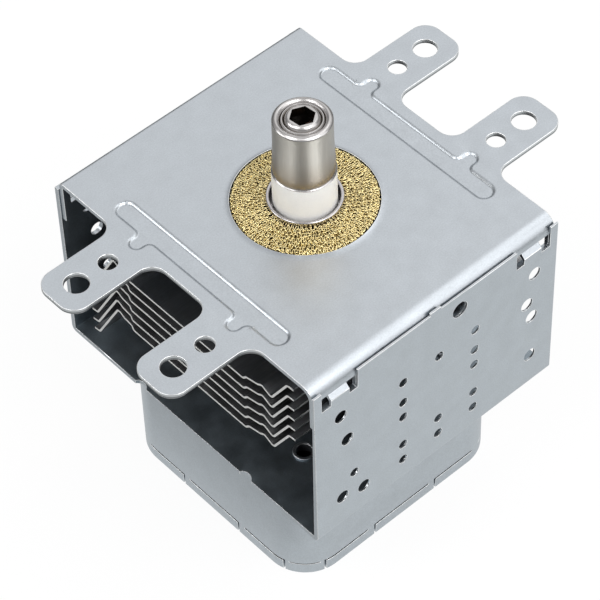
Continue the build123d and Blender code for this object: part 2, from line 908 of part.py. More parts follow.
# Chokes
def choke_coil():
    """Coil of enamelled wire from the stem terminal to the capacitor pin, on the -Y side."""
    axis_point = (0, -choke_y, choke_z)
    coil = Helix(choke_pitch, choke_length, choke_radius, center=axis_point, direction=(1, 0, 0))
    wire = sweep(
        Plane(coil @ 0, z_dir=coil % 0) * Circle(choke_wire_radius), path=coil, is_frenet=True
    )
    to_stem = Plane(coil @ 0, z_dir=-(coil % 0)) * Circle(choke_wire_radius)
    to_pin = Plane(coil @ 1, z_dir=coil % 1) * Circle(choke_wire_radius)
    wire += extrude(to_stem, choke_y - stem_terminal_reach + choke_weld_lap)
    return wire + extrude(to_pin, choke_y - blade_y + pin_half_width)


def choke_core():
    """Ferrite rod inside the coil, on the -Y side."""
    length = choke_length + 2 * choke_core_overhang
    radius = choke_radius - choke_wire_radius - loose_gap
    middle = Pos(choke_length / 2, -choke_y, choke_z)
    return middle * Rot(0, 90, 0) * Cylinder(radius, length)


# Capacitor and connector
def pin_block(row, extra, x0, x1):
    """The narrow part of a terminal blade, larger by an extra all round."""
    w = pin_half_width + extra
    y = row * blade_y
    top = pin_bottom + blade_thickness + extra
    return block(x0, x1, y - w, y + w, pin_bottom - extra, top)


def capacitor_case():
    """Moulded case that holds the two terminal blades."""
    start = filter_half_x - filter_sheet - capacitor_inside
    case = Pos(bracket_face_x, 0, 0) * extrude(capacitor_outline(0), capacitor_outside)
    case = fillet(case.faces().sort_by(Axis.X)[-1].edges(), capacitor_edge_round)
    neck = extrude(capacitor_outline(capacitor_neck_inset), bracket_face_x - start)
    case += Pos(start, 0, 0) * neck
    for row in (-1, 1):
        case -= pin_block(row, braze_gap, start, capacitor_face_x)
    return case


def capacitor_bracket():
    """Steel plate that clamps the capacitor to the wall of the filter box."""
    sketch = RectangleRounded(
        2 * bracket_half_width, 2 * bracket_half_height, bracket_corner_radius
    )
    plate = extrude(Plane.YZ * Pos(0, capacitor_z) * sketch, bracket_thickness)
    neck = capacitor_outline(capacitor_neck_inset - sheet_gap)
    plate = Pos(filter_half_x, 0, 0) * (plate - extrude(neck, bracket_thickness))
    for row in (-1, 1):
        plate -= rivet_tool(rivet_radius + braze_gap, filter_half_x, bracket_face_x, row)
    return plate


def bracket_rivets():
    """The two tubular rivets of the capacitor's bracket."""
    wall = filter_half_x - filter_sheet
    rivets = []
    for row in (-1, 1):
        shank = rivet_tool(rivet_radius, wall, bracket_face_x, row)
        outer = rivet_tool(
            rivet_head_radius, bracket_face_x, bracket_face_x + rivet_head_height, row
        )
        outer = fillet(outer.faces().sort_by(Axis.X)[-1].edges(), rivet_head_height / 2)
        inner = rivet_tool(rivet_head_radius, wall - rivet_head_height, wall, row)
        rivets.append((shank + outer + inner).solid())
    return Compound(rivets)


def terminal_blade(row):
    """Tab terminal outside the case, with a narrow pin through it to the choke."""
    pin_start = choke_length - choke_wire_radius
    blade_start = capacitor_face_x + braze_gap
    blade_end = blade_start + blade_length
    y = row * blade_y
    w = blade_half_width
    top = pin_bottom + blade_thickness
    tab = block(blade_start, blade_end, y - w, y + w, pin_bottom, top)
    tip = tab.edges().filter_by(Axis.Z).group_by(Axis.X)[-1]
    tab = chamfer(tip, blade_tip_chamfer)
    tab -= disc(blade_hole_radius, pin_bottom, top, blade_start + blade_hole_distance, y)
    return tab + pin_block(row, 0, pin_start, blade_start)


def pieces():
    """Every piece of the magnetron by its name."""
    made = {
        "mounting_plate": mounting_plate(),
        "yoke_frame": yoke_frame(),
        "upper_magnet": magnet(upper_magnet_bottom, upper_magnet_top),
        "lower_magnet": magnet(lower_magnet_bottom, lower_magnet_top),
        "anode_cylinder": anode_cylinder(),
        "upper_strap_inner": strap(strap_inner_radius),
        "upper_strap_outer": strap(strap_outer_radius),
        "lower_strap_inner": below(strap(strap_inner_radius)),
        "lower_strap_outer": below(strap(strap_outer_radius)),
        "upper_pole_piece": pole_piece() - antenna_rod(antenna_lead_radius + 2 * loose_gap),
        "lower_pole_piece": below(pole_piece()),
        "upper_seal_cup": upper_seal_cup(),
        "lower_seal_cup": lower_seal_cup(),
        "antenna_insulator": antenna_insulator(),
        "exhaust_cup": exhaust_cup(),
        "exhaust_tube": exhaust_tube(),
        "antenna_lead": antenna_rod(antenna_lead_radius),
        "antenna_cap": antenna_cap(),
        "wire_mesh_gasket": wire_mesh_gasket(),
        "upper_end_hat": end_hat(),
        "lower_end_hat": lower_end_hat(),
        "filament": filament(),
        "centre_lead": centre_lead(),
        "side_lead": side_lead(),
        "stem_insulator": stem_insulator(),
        "stem_terminal_1": stem_terminal(0, -1),
        "stem_terminal_2": stem_terminal(side_lead_y, 1),
        "filter_box": filter_box(),
        "filter_lid": filter_lid(),
        "choke_coil_1": choke_coil(),
        "choke_coil_2": mirror(choke_coil(), Plane.XZ),
        "choke_core_1": choke_core(),
        "choke_core_2": mirror(choke_core(), Plane.XZ),
        "capacitor_case": capacitor_case(),
        "capacitor_bracket": capacitor_bracket(),
        "bracket_rivets": bracket_rivets(),
        "terminal_blade_1": terminal_blade(-1),
        "terminal_blade_2": terminal_blade(1),
    }
    for index in range(vane_count):
        made[f"anode_vane_{index + 1}"] = anode_vane(index)
    for index in range(fin_count):
        made[f"cooling_fin_{index + 1}"] = cooling_fin(index)
    return made


os.makedirs("parts", exist_ok=True)
for name, piece in pieces().items():
    export_step(piece, f"parts/{name}.step")
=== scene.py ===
import json
import math
import random

import bpy
from mathutils import Euler, Matrix, Vector


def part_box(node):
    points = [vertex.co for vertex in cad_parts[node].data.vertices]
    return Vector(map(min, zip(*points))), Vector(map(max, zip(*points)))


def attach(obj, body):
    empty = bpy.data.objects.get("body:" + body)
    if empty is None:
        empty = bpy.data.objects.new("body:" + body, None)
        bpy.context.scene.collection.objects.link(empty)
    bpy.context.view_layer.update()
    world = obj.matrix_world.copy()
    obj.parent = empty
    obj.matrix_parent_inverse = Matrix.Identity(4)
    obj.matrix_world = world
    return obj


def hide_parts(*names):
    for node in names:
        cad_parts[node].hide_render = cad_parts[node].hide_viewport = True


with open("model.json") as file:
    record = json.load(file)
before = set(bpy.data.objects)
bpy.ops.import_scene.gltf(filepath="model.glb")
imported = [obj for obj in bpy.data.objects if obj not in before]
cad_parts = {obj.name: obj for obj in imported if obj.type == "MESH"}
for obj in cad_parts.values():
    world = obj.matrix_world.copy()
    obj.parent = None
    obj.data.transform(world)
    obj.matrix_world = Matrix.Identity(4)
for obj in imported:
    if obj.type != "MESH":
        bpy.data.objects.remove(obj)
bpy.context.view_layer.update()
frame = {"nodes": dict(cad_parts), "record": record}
nodes = frame["nodes"]
mm = 0.001

# Camera
# It stands over the near corner of the mounting plate with a long lens, as in the photograph.
camera_place = Vector((-0.32076, -0.36879, 0.53048))
camera_azimuth = math.radians(40.763)
camera_depression = math.radians(49.292)
camera_roll = math.radians(-2.085)
camera_data = bpy.data.cameras.new("camera")
camera_data.lens = 175.97
camera_data.sensor_width = 36.0
camera_data.clip_start = 0.01
camera = bpy.data.objects.new("camera", camera_data)
bpy.context.scene.collection.objects.link(camera)
aim = Euler((math.pi / 2 - camera_depression, 0, -camera_azimuth)).to_matrix()
aim = aim @ Matrix.Rotation(camera_roll, 3, "Z")
camera.matrix_world = Matrix.Translation(camera_place) @ aim.to_4x4()
bpy.context.scene.camera = camera

# Studio
# The part stands on white paper in a surround that is dark near the horizon. Softboxes stand
# high and low at both sides of the camera, and a broad panel behind the part lights its top.
# Metal mirrors the paper as a soft glow, which fades far off and past the part's -X side.
surround_colour = (1.0, 1.0, 1.0)
surround_strengths = (0.08, 0.56)
surround_heights = (0.05, 0.6)
white_paper_colour = (0.95, 0.95, 0.95)
reflected_paper_colour = (0.70, 0.72, 0.72)
mirrored_glow_colour = (0.785, 0.805, 0.805)
white_glow_colour = (1.0, 1.0, 1.0)
paper_glow = 0.9
mirrored_glow = 0.75
glow_fade_distances = (0.25, 0.55)
glow_level_far_off = 0.15
glow_side_places = (-0.055, -0.036)
glow_level_past_side = 0.62
softbox_distance = 1.1
softbox_aim = Vector((0, 0, -0.02))
floor_size = 6.0
bpy.context.scene.view_settings.view_transform = "Standard"


def spread(tree, source, low, high, start=0.3, end=0.7):
    """The source's values between start and end, spread over low to high."""
    remap = tree.nodes.new("ShaderNodeMapRange")
    remap.inputs["From Min"].default_value = start
    remap.inputs["From Max"].default_value = end
    remap.inputs["To Min"].default_value = low
    remap.inputs["To Max"].default_value = high
    tree.links.new(source, remap.inputs["Value"])
    return remap.outputs["Result"]


def between(tree, factor, first, second):
    """A colour between two others, which may be fixed colours or sockets.

    A Mix node keeps its colours in inputs 6 and 7 and gives the result in output 2.
    """
    mix = tree.nodes.new("ShaderNodeMix")
    mix.data_type = "RGBA"
    tree.links.new(factor, mix.inputs["Factor"])
    for socket, colour in ((mix.inputs[6], first), (mix.inputs[7], second)):
        if isinstance(colour, tuple):
            socket.default_value = (*colour, 1)
        else:
            tree.links.new(colour, socket)
    return mix.outputs[2]


world = bpy.data.worlds.new("surround")
bpy.context.scene.world = world
world.use_nodes = True
sky_tree = world.node_tree
backdrop = sky_tree.nodes["Background"]
backdrop.inputs["Color"].default_value = (*surround_colour, 1)
sky_place = sky_tree.nodes.new("ShaderNodeTexCoord")
sky_height = sky_tree.nodes.new("ShaderNodeSeparateXYZ")
sky_tree.links.new(sky_place.outputs["Generated"], sky_height.inputs[0])
sky_strength = spread(sky_tree, sky_height.outputs["Z"], *surround_strengths, *surround_heights)
sky_tree.links.new(sky_strength, backdrop.inputs["Strength"])
white = sky_tree.nodes.new("ShaderNodeBackground")
white.inputs["Color"].default_value = (1, 1, 1, 1)
seen = sky_tree.nodes.new("ShaderNodeLightPath")
either = sky_tree.nodes.new("ShaderNodeMixShader")
sky_tree.links.new(seen.outputs["Is Camera Ray"], either.inputs[0])
sky_tree.links.new(backdrop.outputs[0], either.inputs[1])
sky_tree.links.new(white.outputs[0], either.inputs[2])
sky_tree.links.new(either.outputs[0], sky_tree.nodes["World Output"].inputs[0])

bpy.ops.object.select_all(action="DESELECT")
floor_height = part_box("filter_lid")[0].z
bpy.ops.mesh.primitive_plane_add(size=floor_size, location=(0, 0, floor_height))
floor = bpy.context.active_object
floor.name = "floor"
paper = bpy.data.materials.new("white_paper")
paper.use_nodes = True
paper_tree = paper.node_tree
paper_shader = paper_tree.nodes["Principled BSDF"]
paper_shader.inputs["Roughness"].default_value = 0.9
glow = paper_tree.nodes.new("ShaderNodeEmission")
paper_path = paper_tree.nodes.new("ShaderNodeLightPath")
paper_place = paper_tree.nodes.new("ShaderNodeTexCoord")
paper_side = paper_tree.nodes.new("ShaderNodeSeparateXYZ")
far_off = paper_tree.nodes.new("ShaderNodeVectorMath")
far_off.operation = "LENGTH"
paper_tree.links.new(paper_place.outputs["Object"], paper_side.inputs[0])
paper_tree.links.new(paper_place.outputs["Object"], far_off.inputs[0])


def joined(operation, first, second, third=None):
    """A Math node on sockets and numbers."""
    math_node = paper_tree.nodes.new("ShaderNodeMath")
    math_node.operation = operation
    for socket, value in zip(math_node.inputs, (first, second, third)):
        if isinstance(value, float):
            socket.default_value = value
        elif value is not None:
            paper_tree.links.new(value, socket)
    return math_node.outputs[0]


seen_directly = paper_path.outputs["Is Camera Ray"]
far_level = spread(paper_tree, far_off.outputs["Value"], 1.0, glow_level_far_off, *glow_fade_distances)
side_level = spread(paper_tree, paper_side.outputs["X"], glow_level_past_side, 1.0, *glow_side_places)
glow_level = joined("MAXIMUM", joined("MULTIPLY", far_level, side_level), seen_directly)
mirrored_share = joined("MULTIPLY", paper_path.outputs["Is Glossy Ray"], mirrored_glow)
share = joined("MULTIPLY_ADD", seen_directly, paper_glow, mirrored_share)
paper_colour = between(paper_tree, seen_directly, reflected_paper_colour, white_paper_colour)
glow_colour = between(paper_tree, seen_directly, mirrored_glow_colour, white_glow_colour)
blend_in = paper_tree.nodes.new("ShaderNodeMixShader")
paper_tree.links.new(paper_colour, paper_shader.inputs["Base Color"])
paper_tree.links.new(glow_colour, glow.inputs["Color"])
paper_tree.links.new(glow_level, glow.inputs["Strength"])
paper_tree.links.new(share, blend_in.inputs[0])
paper_tree.links.new(paper_shader.outputs[0], blend_in.inputs[1])
paper_tree.links.new(glow.outputs[0], blend_in.inputs[2])
paper_tree.links.new(blend_in.outputs[0], paper_tree.nodes["Material Output"].inputs["Surface"])
floor.data.materials.append(paper)


def softbox(name, direction, width, height, strength):
    """A soft lamp at the studio's distance, facing the part."""
    lamp = bpy.data.lights.new(name, "AREA")
    lamp.shape = "RECTANGLE"
    lamp.size = width
    lamp.size_y = height
    lamp.energy = strength
    stand = bpy.data.objects.new(name, lamp)
    bpy.context.scene.collection.objects.link(stand)
    place = Vector(direction).normalized() * softbox_distance
    facing = (softbox_aim - place).to_track_quat("-Z", "Y")
    stand.matrix_world = Matrix.Translation(place) @ facing.to_matrix().to_4x4()


softbox("left_softbox", (-0.658, 0.0, 0.75), 0.42, 0.60, 3.0)
softbox("right_softbox", (-0.02, -0.66, 0.75), 0.54, 0.60, 5.3)
softbox("low_left_softbox", (-0.74, 0.48, 0.42), 0.50, 0.36, 2.1)
softbox("low_right_softbox", (0.48, -0.75, 0.30), 0.60, 0.85, 2.0)
softbox("high_right_softbox", (0.52, -0.26, 0.85), 0.80, 0.55, 1.3)
softbox("back_panel", (0.66, 0.34, 0.68), 1.70, 1.20, 3.1)


# Mounting plate
# One sheet of zinc-coated steel with two pressed beads and four pierced tabs, folded down at
# its two long sides. The press rounds and burnishes its rims, which are painted lighter still
# as a painted highlight, and tears its cut sides in their lower half. Its underside, the
# opening's wall and the flanges' inner sides are painted darker: painted shade. The opening's
# lip, the beads' inner walls and the front bend are drawn out wider than in the solid, as in
# the photograph.
zinc_colour = (0.53, 0.565, 0.60)
zinc_painted_shade_colour = (0.31, 0.36, 0.40)
burnish_and_highlight_colour = (0.88, 0.89, 0.90)
cut_colours = ((0.30, 0.31, 0.32), (0.72, 0.74, 0.75))
torn_share = 0.62
whole_share = 0.45
weld_distance = 0.02 * mm
flat_angle = math.radians(0.2)
rim_slot = 1
painted_shade_slot = 2
cut_slot = 3
plate_low, plate_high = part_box("mounting_plate")
plate_sheet = 1.4 * mm
plate_rim = 0.16 * mm
crease = math.radians(30)
rim_angle = math.radians(55)
fold_reach = 40.3 * mm
fold_depth = -3 * mm
flange_head = -2 * mm
lip_inner_radius = 18.72 * mm
lip_outer_radius = 20.6 * mm
lip_step_radius = 19.3 * mm
lip_rise = 0.75 * mm
lip_depth = -0.9 * plate_sheet
bead_zone = (28 * mm, 40 * mm)
bead_zone_end = 32 * mm
bead_underside = -2.1 * mm
bead_wall_middle = 31.42 * mm
bead_wall_reach = 0.72 * mm
bead_wall_spread = 1.65
bead_straight_end = 25.5 * mm
bead_end = 28.0 * mm
bead_floor_end = 34.0 * mm
bend_start = 42.6 * mm
bend_radius = 3.2 * mm
bend_growth = 0.8 * mm
touching = 0.001 * mm


def softened(offset, along):
    """The place along X of a point on a bead's inner wall, once the wall is made gentler."""
    wall_end = bead_wall_middle + bead_wall_reach
    share = max(0.0, min(1.0, (bead_end - along) / (bead_end - bead_straight_end)))
    wider = 1 + (bead_wall_spread - 1) * share
    if abs(offset - bead_wall_middle) <= bead_wall_reach:
        return bead_wall_middle + (offset - bead_wall_middle) * wider
    if wall_end < offset < bead_floor_end:
        new_end = bead_wall_middle + bead_wall_reach * wider
        share_left = (bead_floor_end - offset) / (bead_floor_end - wall_end)
        return bead_floor_end - share_left * (bead_floor_end - new_end)
    return offset


def rounder(place):
    """The place of a point on the front bend or flange, once the bend is made rounder."""
    foot = plate_low.z
    if place.z < -bend_radius:
        squeeze = (-foot - bend_radius - bend_growth) / (-foot - bend_radius)
        return place.y - bend_growth, foot + (place.z - foot) * squeeze
    turn = math.atan2(-place.y - bend_start, place.z + bend_radius)
    reach = math.hypot(place.y + bend_start, place.z + bend_radius) + bend_growth
    return -bend_start - reach * math.sin(turn), reach * math.cos(turn) - bend_radius - bend_growth


def linked_noise(tree, scale, detail, stretch=(1, 1, 1)):
    """A noise on the piece's own coordinates, with a scale in cells per metre."""
    place = tree.nodes.new("ShaderNodeTexCoord")
    mapping = tree.nodes.new("ShaderNodeMapping")
    mapping.inputs["Scale"].default_value = stretch
    noise = tree.nodes.new("ShaderNodeTexNoise")
    noise.inputs["Scale"].default_value = scale
    noise.inputs["Detail"].default_value = detail
    tree.links.new(place.outputs["Object"], mapping.inputs["Vector"])
    tree.links.new(mapping.outputs["Vector"], noise.inputs["Vector"])
    return noise.outputs["Fac"]


def shaded(colour, share):
    """The colour made darker or lighter by a share."""
    return tuple(min(1.0, channel * share) for channel in colour)


def finish(name, colour, metallic, roughness, **grain):
    """A procedural finish: speckle, broad clouds, uneven gloss and a faint relief.

    grain may hold speckle and cloud sizes in cells per metre, their depths, the stretch of
    the pattern along each axis, the relief in metres and the spread of the roughness.
    """
    material = bpy.data.materials.new(name)
    material.use_nodes = True
    tree = material.node_tree
    shader = tree.nodes["Principled BSDF"]
    stretch = grain.get("stretch", (1, 1, 1))
    speckle = linked_noise(tree, grain.get("speckle", 2600), 3, stretch)
    cloud = linked_noise(tree, grain.get("cloud", 190), 4, stretch)
    deep = grain.get("speckle_depth", 0.07)
    broad = grain.get("cloud_depth", 0.05)
    fine = between(
        tree, spread(tree, speckle, 0, 1), shaded(colour, 1 - deep), shaded(colour, 1 + deep)
    )
    dull = tree.nodes.new("ShaderNodeHueSaturation")
    tree.links.new(fine, dull.inputs["Color"])
    tree.links.new(spread(tree, cloud, 1 - broad, 1 + broad), dull.inputs["Value"])
    tree.links.new(dull.outputs["Color"], shader.inputs["Base Color"])
    shader.inputs["Metallic"].default_value = metallic
    uneven = grain.get("uneven", 0.05)
    gloss = spread(tree, cloud, roughness - uneven, roughness + uneven)
    tree.links.new(gloss, shader.inputs["Roughness"])
    relief = tree.nodes.new("ShaderNodeBump")
    relief.inputs["Strength"].default_value = 1.0
    relief.inputs["Distance"].default_value = grain.get("relief", 0.004 * mm)
    tree.links.new(speckle, relief.inputs["Height"])
    tree.links.new(relief.outputs["Normal"], shader.inputs["Normal"])
    return material


def cut_side(name, top, thickness):
    """A sheared side: smooth and bright at the punch's side, torn and dark below."""
    material = finish(name, cut_colours[0], 1.0, 0.5)
    tree = material.node_tree
    place = tree.nodes.new("ShaderNodeTexCoord")
    height = tree.nodes.new("ShaderNodeSeparateXYZ")
    tree.links.new(place.outputs["Object"], height.inputs[0])
    torn_end = top - torn_share * thickness
    bright = spread(tree, height.outputs["Z"], 0, 1, torn_end, top - whole_share * thickness)
    colour = between(tree, bright, cut_colours[0], cut_colours[1])
    tree.links.new(colour, tree.nodes["Principled BSDF"].inputs["Base Color"])
    return material


def copied(node, name):
    """A selected copy of a CAD piece as one clean surface, ready to be worked on."""
    piece = bpy.data.objects.new(name, nodes[node].data.copy())
    bpy.context.scene.collection.objects.link(piece)
    bpy.ops.object.select_all(action="DESELECT")
    piece.select_set(True)
    bpy.context.view_layer.objects.active = piece
    bpy.ops.mesh.customdata_custom_splitnormals_clear()
    bpy.ops.object.mode_set(mode="EDIT")
    bpy.ops.mesh.select_all(action="SELECT")
    bpy.ops.mesh.remove_doubles(threshold=weld_distance)
    bpy.ops.mesh.dissolve_limited(angle_limit=flat_angle)
    bpy.ops.object.mode_set(mode="OBJECT")
    piece.data.materials.clear()
    return piece


def rimmed(piece, node, width, rim=rim_slot, reshaped=lambda place: False, angle=rim_angle):
    """Rounds a piece's sharp edges into rims of one finish, and keeps the CAD's shading elsewhere.

    rim is the material slot of the rims, and reshaped says which points the scene has moved,
    where the CAD's shading doesn't hold.
    """
    bpy.ops.object.shade_smooth_by_angle(angle=crease)
    bevel = piece.modifiers.new("rims", "BEVEL")
    bevel.limit_method = "ANGLE"
    bevel.angle_limit = angle
    bevel.use_clamp_overlap = False
    bevel.width = width
    bevel.segments = 2
    bevel.material = rim
    bpy.ops.object.modifier_apply(modifier=bevel.name)
    flats = piece.modifiers.new("flats", "WEIGHTED_NORMAL")
    flats.keep_sharp = False
    bpy.ops.object.modifier_apply(modifier=flats.name)
    points = piece.data.vertices
    turned = set()
    for face in piece.data.polygons:
        on_rim = face.material_index == rim
        for index in face.vertices:
            if on_rim or face.normal.angle(points[index].normal, 0) > crease / 2:
                turned.add(index)
    kept = [point.index for point in points if point.index not in turned and not reshaped(point.co)]
    skin = piece.vertex_groups.new(name="skin")
    skin.add(kept, 1.0, "REPLACE")
    shading = piece.modifiers.new("shading", "DATA_TRANSFER")
    shading.object = nodes[node]
    shading.use_loop_data = True
    shading.data_types_loops = {"CUSTOM_NORMAL"}
    shading.loop_mapping = "POLYINTERP_NEAREST"
    shading.vertex_group = skin.name
    bpy.ops.object.modifier_apply(modifier=shading.name)
    piece.vertex_groups.clear()


zinc = finish("zinc_coat", zinc_colour, 1.0, 0.36)
# The second zinc is the same coat painted darker: painted shade inside the parts.
zinc_painted_shade = finish("zinc_painted_shade", zinc_painted_shade_colour, 1.0, 0.42)
# The rims are burnished steel, and their colour is raised past steel's as a painted highlight.
burnish_and_highlight = finish("burnished_rim_and_painted_highlight", burnish_and_highlight_colour, 1.0, 0.3)
plate_cut_side = cut_side("plate_cut_side", plate_high.z, plate_sheet)
plate = copied("mounting_plate", "mounting_plate_sheet")
for material in (zinc, burnish_and_highlight, zinc_painted_shade, plate_cut_side):
    plate.data.materials.append(material)
for vertex in plate.data.vertices:
    reach = math.hypot(vertex.co.x, vertex.co.y)
    if reach < lip_outer_radius and vertex.co.z > lip_depth:
        on_foot = reach > lip_step_radius
        radius, height = (lip_outer_radius, 0.0) if on_foot else (lip_inner_radius, lip_rise)
        vertex.co = (vertex.co.x * radius / reach, vertex.co.y * radius / reach, height)
    elif vertex.co.z > bead_underside and abs(vertex.co.y) < bead_zone_end:
        vertex.co.x = math.copysign(softened(abs(vertex.co.x), abs(vertex.co.y)), vertex.co.x)
    elif vertex.co.y < -bend_start - touching:
        vertex.co.y, vertex.co.z = rounder(vertex.co)
# Faces under the plate, on the opening's wall and inside the flanges take the darker zinc: painted
# shade.
for face in plate.data.polygons:
    middle = face.center
    turned_in = middle.y * face.normal.y < 0 and abs(face.normal.y) > 0.5
    under = face.normal.z < -0.5 and abs(middle.x) < fold_reach and middle.z > fold_depth
    opening_wall = abs(face.normal.z) < 0.3 and math.hypot(middle.x, middle.y) < lip_outer_radius
    flange_inside = turned_in and middle.z < flange_head
    if under or opening_wall or flange_inside:
        face.material_index = painted_shade_slot
    elif abs(face.normal.z) < 0.3 and middle.z > -plate_sheet:
        face.material_index = cut_slot


def on_beads(place):
    """Whether a point lies on the softened beads."""
    return bead_zone[0] < abs(place.x) < bead_zone[1] and abs(place.y) < bead_zone_end


rimmed(plate, "mounting_plate", plate_rim, reshaped=on_beads)
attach(plate, "root")
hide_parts("mounting_plate")


# Yoke frame
# A second strip of the same sheet, folded into a U. Its walls stand outside the flanges of
# the plate, and four tongues bent in over the flanges lock the two together. The front wall
# is thinned from inside, where the plate's wider bend needs the room.
yoke_rim = 0.14 * mm
yoke_rim_angle = math.radians(40)
yoke_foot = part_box("yoke_frame")[0].z
yoke_sheet = 1.4 * mm
front_wall_inside = -45.85 * mm
front_wall_play = 0.08 * mm
front_wall_foot = -54 * mm
front_wall_thinning = 0.8 * mm
tongue_foot = -9 * mm
yoke = copied("yoke_frame", "yoke_frame_sheet")
for vertex in yoke.data.vertices:
    on_inside = abs(vertex.co.y - front_wall_inside) < front_wall_play
    if on_inside and vertex.co.z > front_wall_foot:
        vertex.co.y -= front_wall_thinning
for material in (zinc, burnish_and_highlight, zinc_painted_shade):
    yoke.data.materials.append(material)
# The yoke floor's top and the walls' inner sides below the tongues take the darker zinc: painted
# shade.
for face in yoke.data.polygons:
    middle = face.center
    turned_in = middle.y * face.normal.y < 0 and abs(face.normal.y) > 0.5
    floor_top = face.normal.z > 0.5 and middle.z < yoke_foot + 2 * yoke_sheet
    if floor_top or (turned_in and middle.z < tongue_foot):
        face.material_index = painted_shade_slot
rimmed(yoke, "yoke_frame", yoke_rim, angle=yoke_rim_angle)
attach(yoke, "root")
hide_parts("yoke_frame")


# Filter box and lid
# A deep drawn cup of thinner sheet under the yoke, with spring fingers slit into its rim, and
# a shallow tray pressed into it as a lid. The faces inside the slits are painted near-black: painted
# shade.
box_rim = 0.1 * mm
slit_painted_shade_slot = 2
slit_top = -89.0 * mm
finger_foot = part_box("filter_box")[0].z + 0.5 * mm
filter_box = copied("filter_box", "filter_box_sheet")
slit_painted_shade = finish("slit_painted_shade", (0.05, 0.055, 0.06), 1.0, 0.5)
for material in (zinc, burnish_and_highlight, slit_painted_shade):
    filter_box.data.materials.append(material)
for face in filter_box.data.polygons:
    if finger_foot < face.center.z < slit_top and abs(face.normal.z) > 0.7:
        face.material_index = slit_painted_shade_slot
rimmed(filter_box, "filter_box", box_rim)
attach(filter_box, "root")
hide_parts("filter_box")

filter_lid = copied("filter_lid", "filter_lid_sheet")
for material in (zinc, burnish_and_highlight):
    filter_lid.data.materials.append(material)
rimmed(filter_lid, "filter_lid", box_rim)
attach(filter_lid, "root")
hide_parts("filter_lid")


# Cooling fins
# Six thin aluminium sheets, bent alike and pressed on the anode. Their faces carry a grain from
# rolling and are painted dark grey, as painted shade inside the yoke, and their sheared edges are
# bright.
fin_face_painted_shade = finish("fin_face_painted_shade", (0.45, 0.45, 0.46), 1.0, 0.36, stretch=(0.08, 1, 1))
fin_edge = finish("fin_edge", (0.88, 0.87, 0.85), 1.0, 0.32)
fin_rim = 0.08 * mm
fin_open_side = 30 * mm
for number in range(1, 7):
    node = f"cooling_fin_{number}"
    fin = copied(node, node + "_sheet")
    fin.data.materials.append(fin_face_painted_shade)
    fin.data.materials.append(fin_edge)
    for face in fin.data.polygons:
        if abs(face.normal.x) > 0.9 and abs(face.center.x) > fin_open_side:
            face.material_index = rim_slot
    rimmed(fin, node, fin_rim)
    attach(fin, "root")
    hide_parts(node)


# Wire mesh gasket
# A sleeve of knitted brass wire, rolled up and pressed into a flat ring round the collar. Two
# layers of knitted courses lie on a packed core, and no two stitches lie quite alike. The lower
# layer's brass is painted darker and the core near-black: painted shade between the wires.
brass = finish("brass_wire", (0.97, 0.79, 0.425), 1.0, 0.17, speckle_depth=0.12)
# The lower layer's brass is painted darker: painted shade under the top layer.
brass_painted_shade = finish("brass_wire_painted_shade", (0.46, 0.34, 0.13), 1.0, 0.4, speckle_depth=0.12)
brass_core_painted_shade = finish("brass_core_painted_shade", (0.08, 0.057, 0.02), 1.0, 0.5, relief=0.05 * mm)
wire_radius = 0.14 * mm
core_inset = 0.7 * mm
stitch_width = 1.15 * mm
course_pitch = 0.9 * mm
stitch_points = 10
stitch_leans = (-0.5, 0.5)
stitch_shares = (0.45, 0.95)
stitch_shifts = (-0.38 * mm, 0.38 * mm)
stitch_lifts = (-0.14 * mm, 0.06 * mm)
loop_swell = 0.9
loop_lean = 0.3
crossing_rise = 0.1 * mm
layer_drops = (0.0, 0.42 * mm)
first_course = 0.2 * mm
skirt_run = 1.2 * mm
gasket_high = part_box("wire_mesh_gasket")[1]
collar_radius = 9.82 * mm
outer_round = 0.7 * mm
wire_random = random.Random(7)

core = copied("wire_mesh_gasket", "gasket_core")
bpy.ops.object.mode_set(mode="EDIT")
bpy.ops.mesh.select_all(action="SELECT")
bpy.ops.transform.shrink_fatten(value=-core_inset)
bpy.ops.object.mode_set(mode="OBJECT")
core.data.materials.append(brass_core_painted_shade)
bpy.ops.object.shade_smooth_by_angle(angle=crease)
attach(core, "root")
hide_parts("wire_mesh_gasket")


def gasket_skin(run, depth):
    """Radius and height of a point at a run outwards along the ring's skin, under it by a depth."""
    flat_end = gasket_high.x - outer_round
    radius = collar_radius + 2 * wire_radius + run
    if radius <= flat_end:
        return radius, gasket_high.z - depth
    turn = (radius - flat_end) / outer_round
    turn_end = min(turn, math.pi / 2)
    straight = max(0.0, turn - math.pi / 2) * outer_round
    reach = outer_round - depth
    height = gasket_high.z - outer_round + reach * math.cos(turn_end) - straight
    return flat_end + reach * math.sin(turn_end), height


def knitted_course(curve, run, drop):
    """One closed course of knitted loops about the antenna axis."""
    radius = gasket_skin(run, 0)[0]
    stitches = round(2 * math.pi * radius / stitch_width)
    start = wire_random.uniform(0, 2 * math.pi)
    spline = curve.splines.new("POLY")
    spline.points.add(stitches * stitch_points - 1)
    spline.use_cyclic_u = True
    for stitch in range(stitches):
        lean = wire_random.uniform(*stitch_leans)
        tall = wire_random.uniform(*stitch_shares) * course_pitch
        shift = wire_random.uniform(*stitch_shifts)
        lift = wire_random.uniform(*stitch_lifts)
        for point in range(stitch_points):
            phase = 2 * math.pi * point / stitch_points
            along = stitch + (phase + loop_swell * math.sin(2 * phase)) / (2 * math.pi)
            across = shift + tall * math.cos(phase)
            rise = crossing_rise * math.cos(2 * phase) + lift
            depth = wire_radius + crossing_rise + drop - rise
            reach, height = gasket_skin(run + across, depth)
            turn = start + 2 * math.pi * (along + loop_lean * lean * math.sin(phase)) / stitches
            index = stitch * stitch_points + point
            spline.points[index].co = (reach * math.cos(turn), reach * math.sin(turn), height, 1)


